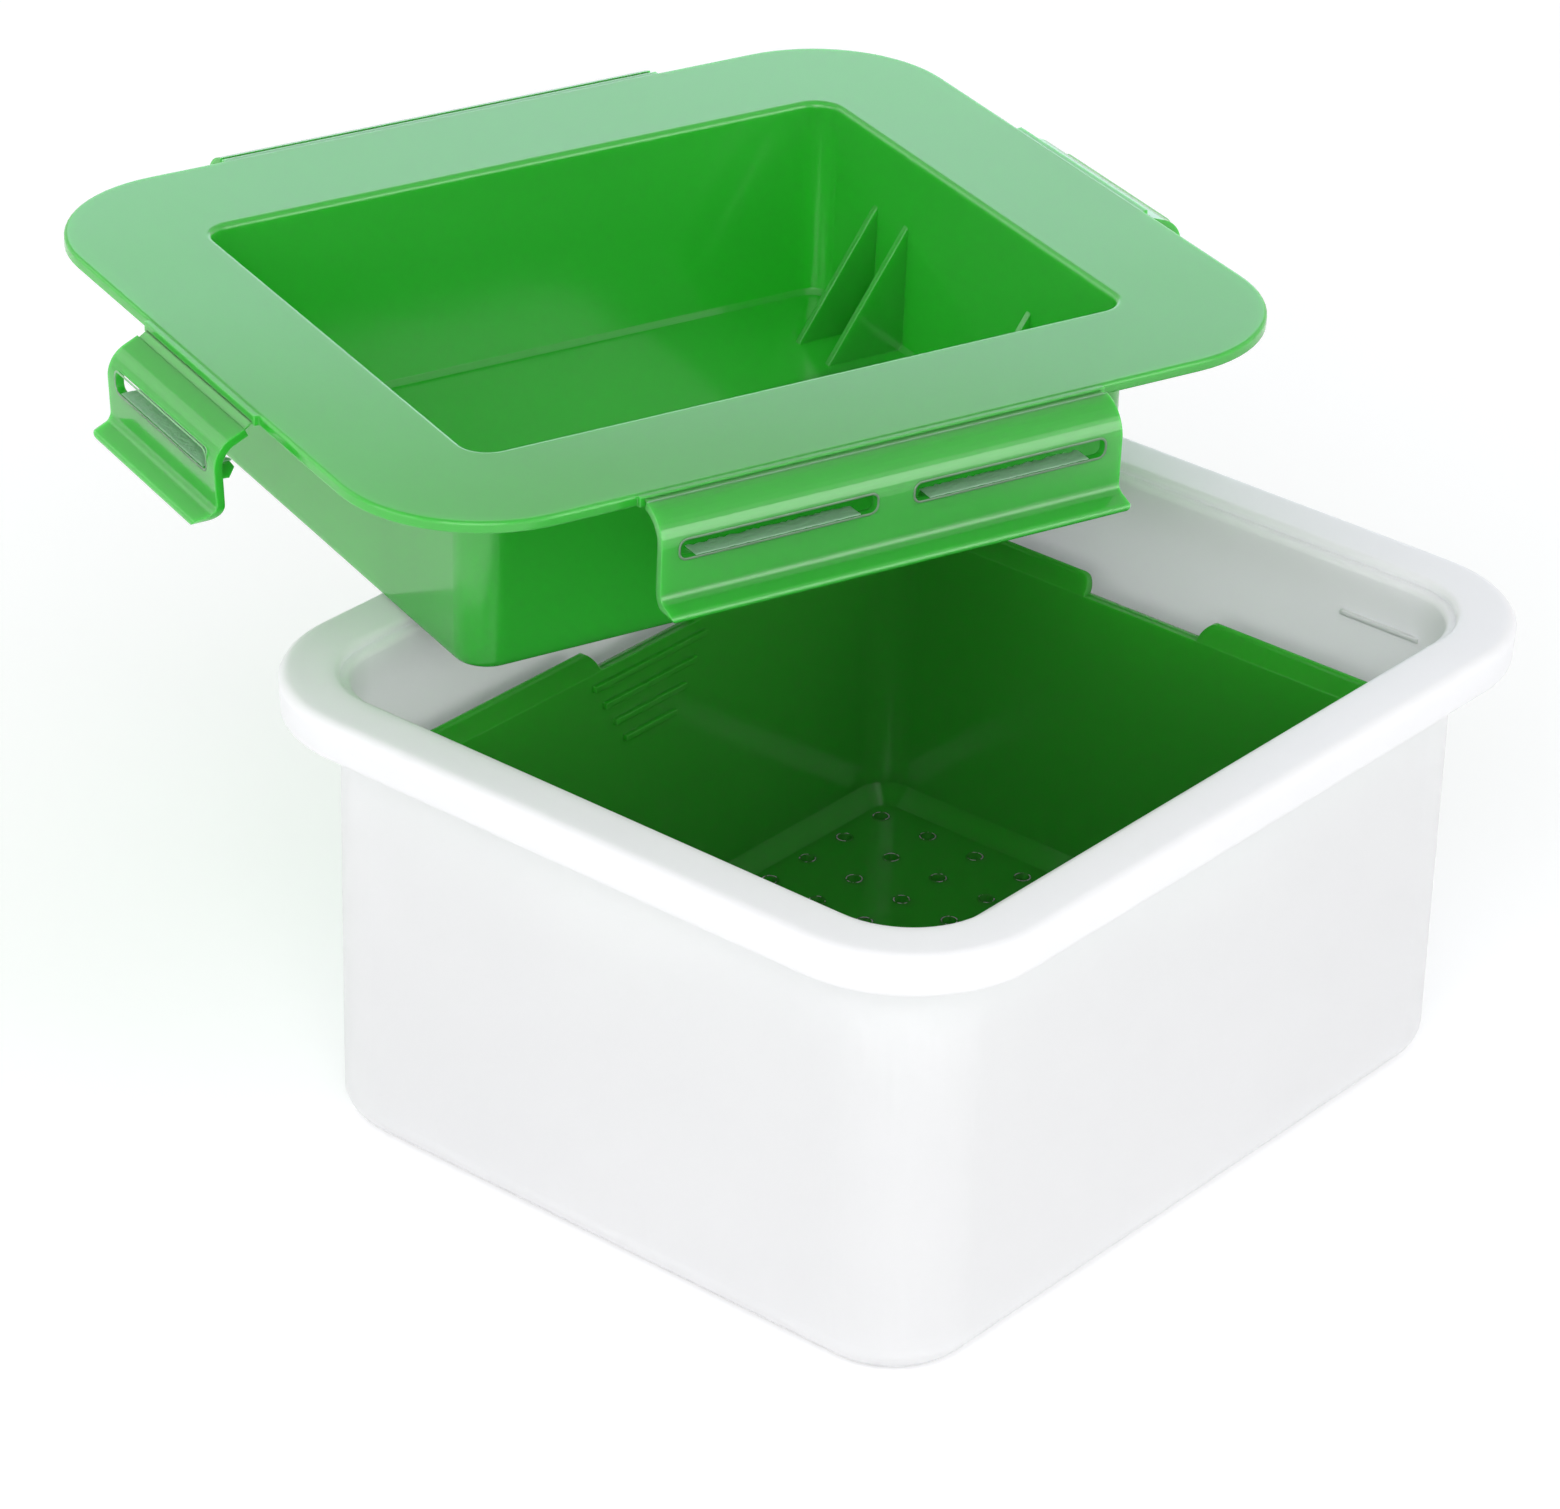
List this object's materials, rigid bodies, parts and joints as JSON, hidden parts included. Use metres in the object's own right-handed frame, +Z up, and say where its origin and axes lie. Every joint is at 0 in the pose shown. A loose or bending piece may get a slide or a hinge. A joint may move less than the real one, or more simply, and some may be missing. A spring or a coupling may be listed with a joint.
{
  "type": "tofu press",
  "caption": "Two-tone tofu press: rounded white tub, green strainer basket inside, and a green lid with a pressing pocket and snap latches on its four sides.",
  "frame": {"origin": "middle of the tub's underside, on the surface that it stands on", "axes": "+Z up, +X along the tub's short direction, +Y along its long direction"},
  "size_m": [0.256, 0.2176, 0.1308],
  "materials": {
    "tub_white": "satin white polypropylene",
    "basket_green": "glossy deep green polypropylene",
    "lid_green": "glossy green polypropylene",
    "hinge_film": "thin stressed polypropylene, paler than the lid"
  },
  "bodies": {
    "tub": {"tub": "tub_white"},
    "basket": {"basket": "basket_green"},
    "lid": {"lid": "lid_green", "film_hinge_right": "hinge_film", "film_hinge_left": "hinge_film", "film_hinge_front": "hinge_film", "film_hinge_back": "hinge_film"},
    "latch_right": {"latch_right": "lid_green"},
    "latch_left": {"latch_left": "lid_green"},
    "latch_front": {"latch_front": "lid_green"},
    "latch_back": {"latch_back": "lid_green"}
  },
  "joints": [
    {"name": "basket_lift", "type": "slide", "parent": "tub", "child": "basket", "axis": [0, 0, 1], "range_m": [0, 0.11]},
    {"name": "lid_lift", "type": "slide", "parent": "basket", "child": "lid", "axis": [0, 0, 1], "range_m": [0, 0.1]},
    {"name": "latch_right_hinge", "type": "hinge", "parent": "lid", "child": "latch_right", "pos_m": [0.00022, -0.00966, 0.12999], "axis": [-0.3313, -0.9435, 0], "range_deg": [-25, 95], "stiffness_Nm_per_rad": 0.02, "deforming": ["film_hinge_right"]},
    {"name": "latch_left_hinge", "type": "hinge", "parent": "lid", "child": "latch_left", "pos_m": [-0.15134, 0.04356, 0.12999], "axis": [0.3313, 0.9435, 0], "range_deg": [-25, 95], "stiffness_Nm_per_rad": 0.02, "deforming": ["film_hinge_left"]},
    {"name": "latch_front_hinge", "type": "hinge", "parent": "lid", "child": "latch_front", "pos_m": [-0.10581, -0.06859, 0.1286], "axis": [-0.9435, 0.3313, 0], "range_deg": [-18, 95], "stiffness_Nm_per_rad": 0.02, "deforming": ["film_hinge_front"]},
    {"name": "latch_back_hinge", "type": "hinge", "parent": "lid", "child": "latch_back", "pos_m": [-0.04595, 0.10822, 0.1286], "axis": [0.9435, -0.3313, 0], "range_deg": [-23, 90], "stiffness_Nm_per_rad": 0.02, "deforming": ["film_hinge_back"]}
  ]
}
